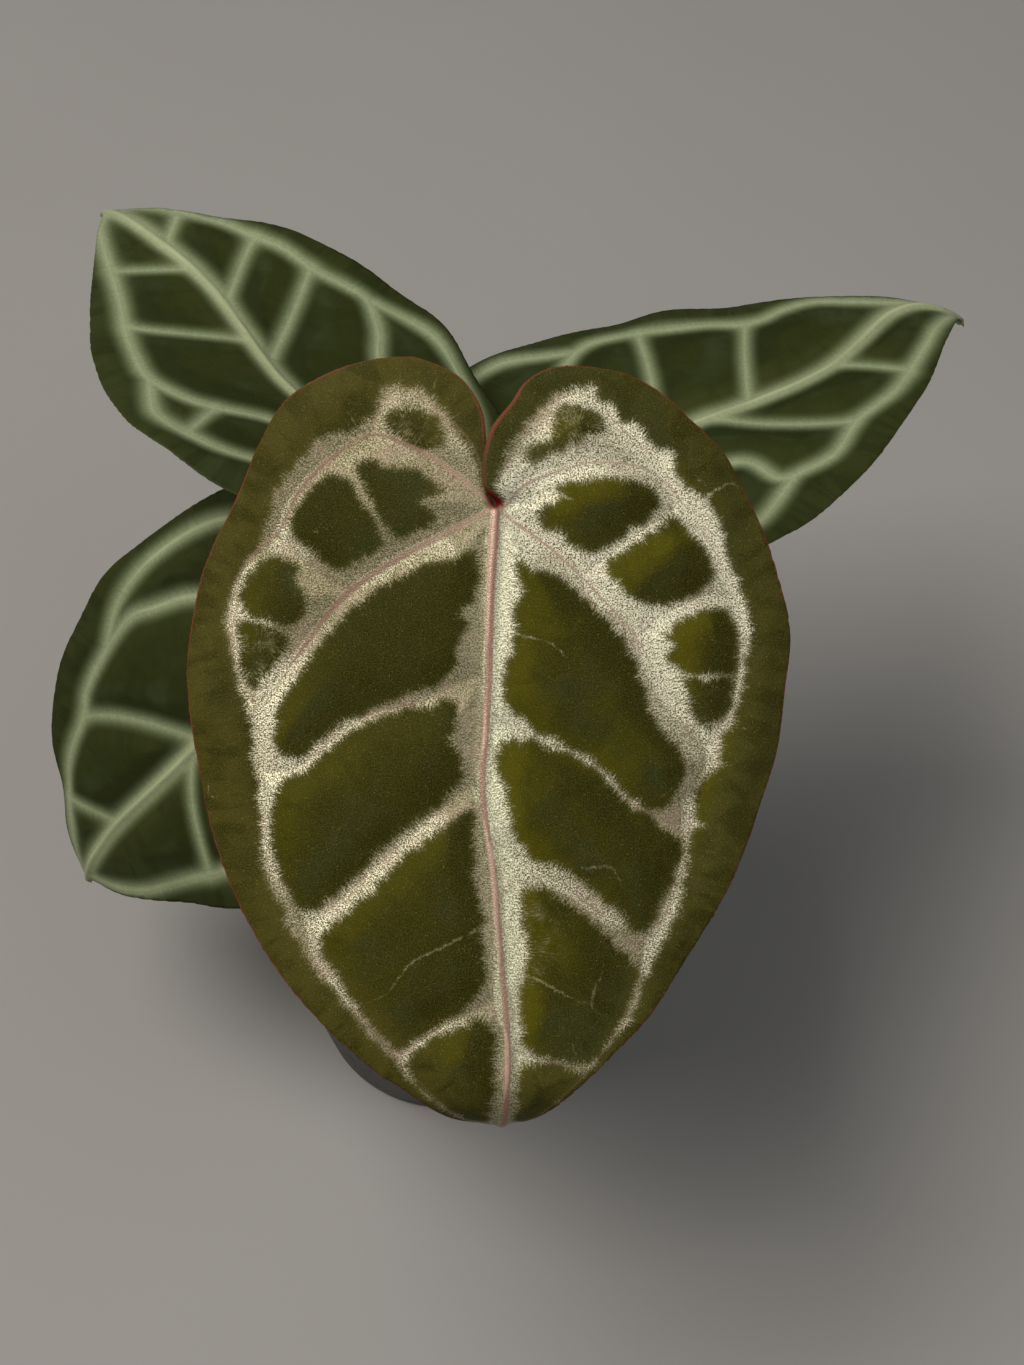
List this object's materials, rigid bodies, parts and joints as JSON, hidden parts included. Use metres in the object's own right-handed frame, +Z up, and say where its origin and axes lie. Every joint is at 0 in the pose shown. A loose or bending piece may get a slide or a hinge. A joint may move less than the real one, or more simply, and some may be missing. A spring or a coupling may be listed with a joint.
{
  "type": "potted velvet-leaved anthurium",
  "caption": "Potted anthurium with heart-shaped velvety leaves and broad pale veins on slender stalks, growing from a short crown in a round nursery pot.",
  "frame": {"origin": "middle of the pot's flat underside, on the surface it stands on", "axes": "+Z up out of the pot; -Y is the side that the youngest leaf faces; +X is to the right of a viewer who faces that leaf"},
  "size_m": [0.2516, 0.2351, 0.2475],
  "materials": {
    "young_blade": "velvety olive blade with sparkling silver-pink veins and a fine red margin",
    "mature_blade": "velvety deep green blade with broad pale green veins",
    "red_petiole": "smooth, flushed reddish",
    "green_petiole": "smooth, dull green",
    "crown": "ringed, with papery scales and pale roots",
    "soil": "coarse bark and peat mix with white perlite",
    "pot_plastic": "matte to satin black-brown moulded plastic"
  },
  "bodies": {
    "root": {"blade_front": "young_blade", "blade_back_left": "mature_blade", "blade_back_right": "mature_blade", "blade_left": "mature_blade", "petiole_front": "red_petiole", "petiole_back_left": "green_petiole", "petiole_back_right": "green_petiole", "petiole_left": "green_petiole", "crown": "crown", "soil": "soil", "pot": "pot_plastic"}
  },
  "joints": []
}
